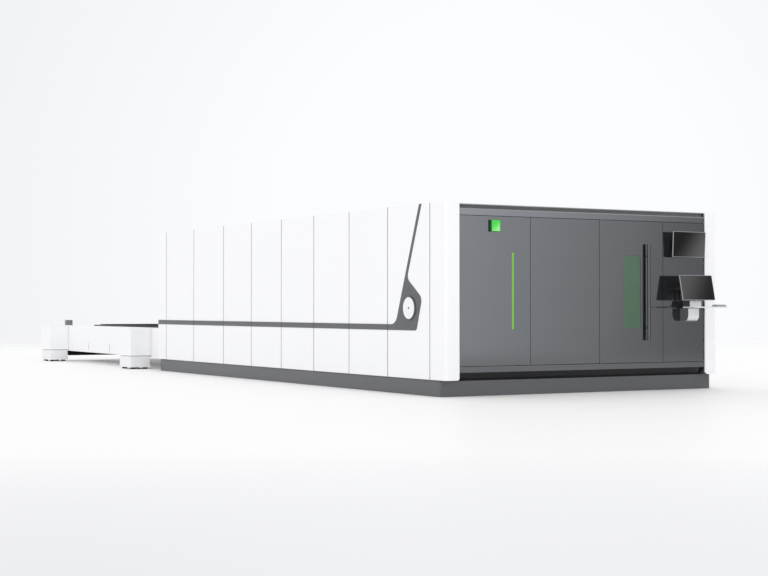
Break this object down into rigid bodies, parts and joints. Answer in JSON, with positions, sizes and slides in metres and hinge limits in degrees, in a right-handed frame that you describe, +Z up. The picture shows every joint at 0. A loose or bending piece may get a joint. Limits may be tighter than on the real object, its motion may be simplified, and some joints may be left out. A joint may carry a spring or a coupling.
{
  "type": "fiber laser cutting machine",
  "caption": "Fully enclosed flatbed laser cutting machine with a dark front with a door, an operator console and a lifting exchange table with two pallets behind.",
  "frame": {"origin": "on the floor, at the centre of the whole machine's box", "axes": "+Z up, -Y out of the dark front, +Y towards the exchange table, +X to the right of a person who faces the front"},
  "size_m": [4.57, 14.86, 2.25],
  "materials": {
    "white_paint": "satin",
    "front_grey": "gloss",
    "plinth_grey": "satin",
    "cover_white": "satin",
    "frame_grey": "satin",
    "bed_paint": "satin",
    "rail_steel": "ground",
    "pallet_steel": "matte",
    "foot_black": "matte",
    "lamp_green": "lit",
    "lamp_black": "matte",
    "window_green": "tinted",
    "handle_black": "satin",
    "bracket_grey": "satin",
    "arm_silver": "satin",
    "key_grey": "matte",
    "monitor_silver": "satin",
    "screen_black": "gloss",
    "machined_alloy": "machined"
  },
  "bodies": {
    "root": {"side_panels": "white_paint", "corner_posts": "white_paint", "rear_wall_panels": "white_paint", "roof_panels": "white_paint", "plinth_skirts": "plinth_grey", "levelling_feet": "foot_black", "frame_long_tubes": "frame_grey", "frame_cross_tubes": "frame_grey", "frame_uprights": "frame_grey", "front_header": "front_grey", "front_sill": "front_grey", "front_panels": "front_grey", "light_strip": "lamp_green", "lamp_housing": "lamp_black", "lamp_lens": "lamp_green", "door_pivot_pins": "rail_steel", "console_arm_root": "bracket_grey", "console_arm": "arm_silver", "upper_monitor_fork": "bracket_grey", "badge_plate": "plinth_grey", "round_cover": "cover_white", "side_bands": "plinth_grey", "bed_sides": "bed_paint", "bed_cross_members": "bed_paint", "y_rails": "rail_steel", "machine_pallet_rails": "rail_steel", "pedestals": "white_paint"},
    "front_door": {"door_leaf": "front_grey", "door_window": "window_green", "door_handle": "handle_black"},
    "console": {"console_neck": "white_paint", "keyboard_tray": "white_paint", "keyboard": "key_grey"},
    "lower_display": {"lower_monitor": "monitor_silver", "lower_screen": "screen_black"},
    "upper_display": {"upper_monitor": "monitor_silver", "upper_screen": "screen_black"},
    "gantry": {"gantry_beam": "bed_paint", "gantry_ends": "machined_alloy", "x_rails": "rail_steel"},
    "pinion_left": {"left_pinion": "rail_steel"},
    "pinion_right": {"right_pinion": "rail_steel"},
    "cross_carriage": {"carriage": "machined_alloy", "z_rails": "rail_steel"},
    "head": {"z_slide": "machined_alloy", "cutting_head": "machined_alloy"},
    "table_lift": {"lift_sleeves": "white_paint", "jack_rods": "rail_steel", "table_side_beams": "white_paint", "table_cross_beams": "frame_grey", "table_rails": "rail_steel", "rail_ribs": "frame_grey"},
    "upper_pallet": {"upper_pallet_sides": "pallet_steel", "upper_pallet_grate": "pallet_steel"},
    "upper_wheels_1": {"upper_wheelset_1": "rail_steel"},
    "upper_wheels_2": {"upper_wheelset_2": "rail_steel"},
    "lower_pallet": {"lower_pallet_sides": "pallet_steel", "lower_pallet_grate": "pallet_steel"},
    "lower_wheels_1": {"lower_wheelset_1": "rail_steel"},
    "lower_wheels_2": {"lower_wheelset_2": "rail_steel"}
  },
  "joints": [
    {"name": "door_swing", "type": "hinge", "parent": "root", "child": "front_door", "pos_m": [0.225, -6.938, 1.225], "axis": [0, 0, -1], "range_deg": [0, 100]},
    {"name": "console_swivel", "type": "hinge", "parent": "root", "child": "console", "pos_m": [1.539, -7.058, 1.06], "axis": [0, 0, 1], "range_deg": [-15, 15]},
    {"name": "lower_display_tilt", "type": "hinge", "parent": "console", "child": "lower_display", "pos_m": [1.539, -7.10288, 1.26299], "axis": [1, 0, 0], "range_deg": [-10, 12]},
    {"name": "upper_display_tilt", "type": "hinge", "parent": "root", "child": "upper_display", "pos_m": [1.519, -6.97411, 1.82608], "axis": [1, 0, 0], "range_deg": [-8, 8]},
    {"name": "gantry_travel", "type": "slide", "parent": "root", "child": "gantry", "axis": [0, 1, 0], "range_m": [0, 5.8]},
    {"name": "pinion_left_spin", "type": "hinge", "parent": "gantry", "child": "pinion_left", "pos_m": [-1.8203, -4.82, 0.885], "axis": [0, 0, 1], "range_deg": [-8318, 10]},
    {"name": "pinion_right_spin", "type": "hinge", "parent": "gantry", "child": "pinion_right", "pos_m": [1.8203, -4.82, 0.885], "axis": [0, 0, 1], "range_deg": [-10, 8318]},
    {"name": "carriage_travel", "type": "slide", "parent": "gantry", "child": "cross_carriage", "axis": [1, 0, 0], "range_m": [-1.25, 1.25]},
    {"name": "head_lift", "type": "slide", "parent": "cross_carriage", "child": "head", "axis": [0, 0, 1], "range_m": [-0.24, 0]},
    {"name": "lift_stroke", "type": "slide", "parent": "root", "child": "table_lift", "axis": [0, 0, 1], "range_m": [0, 0.22]},
    {"name": "upper_pallet_travel", "type": "slide", "parent": "table_lift", "child": "upper_pallet", "axis": [0, -1, 0], "range_m": [0, 6]},
    {"name": "upper_wheels_1_roll", "type": "hinge", "parent": "upper_pallet", "child": "upper_wheels_1", "pos_m": [0, 2.69, 0.5453], "axis": [1, 0, 0], "range_deg": [-10, 6900]},
    {"name": "upper_wheels_2_roll", "type": "hinge", "parent": "upper_pallet", "child": "upper_wheels_2", "pos_m": [0, 6.49, 0.5453], "axis": [1, 0, 0], "range_deg": [-10, 6900]},
    {"name": "lower_pallet_travel", "type": "slide", "parent": "table_lift", "child": "lower_pallet", "axis": [0, -1, 0], "range_m": [0, 6]},
    {"name": "lower_wheels_1_roll", "type": "hinge", "parent": "lower_pallet", "child": "lower_wheels_1", "pos_m": [0, 2.69, 0.3253], "axis": [1, 0, 0], "range_deg": [-10, 6900]},
    {"name": "lower_wheels_2_roll", "type": "hinge", "parent": "lower_pallet", "child": "lower_wheels_2", "pos_m": [0, 6.49, 0.3253], "axis": [1, 0, 0], "range_deg": [-10, 6900]}
  ],
  "couplings": [
    {"joint": "pinion_left_spin", "follows": "gantry_travel", "rad_per_m": -25},
    {"joint": "pinion_right_spin", "follows": "gantry_travel", "rad_per_m": 25},
    {"joint": "upper_wheels_1_roll", "follows": "upper_pallet_travel", "rad_per_m": 20},
    {"joint": "upper_wheels_2_roll", "follows": "upper_pallet_travel", "rad_per_m": 20},
    {"joint": "lower_wheels_1_roll", "follows": "lower_pallet_travel", "rad_per_m": 20},
    {"joint": "lower_wheels_2_roll", "follows": "lower_pallet_travel", "rad_per_m": 20}
  ]
}
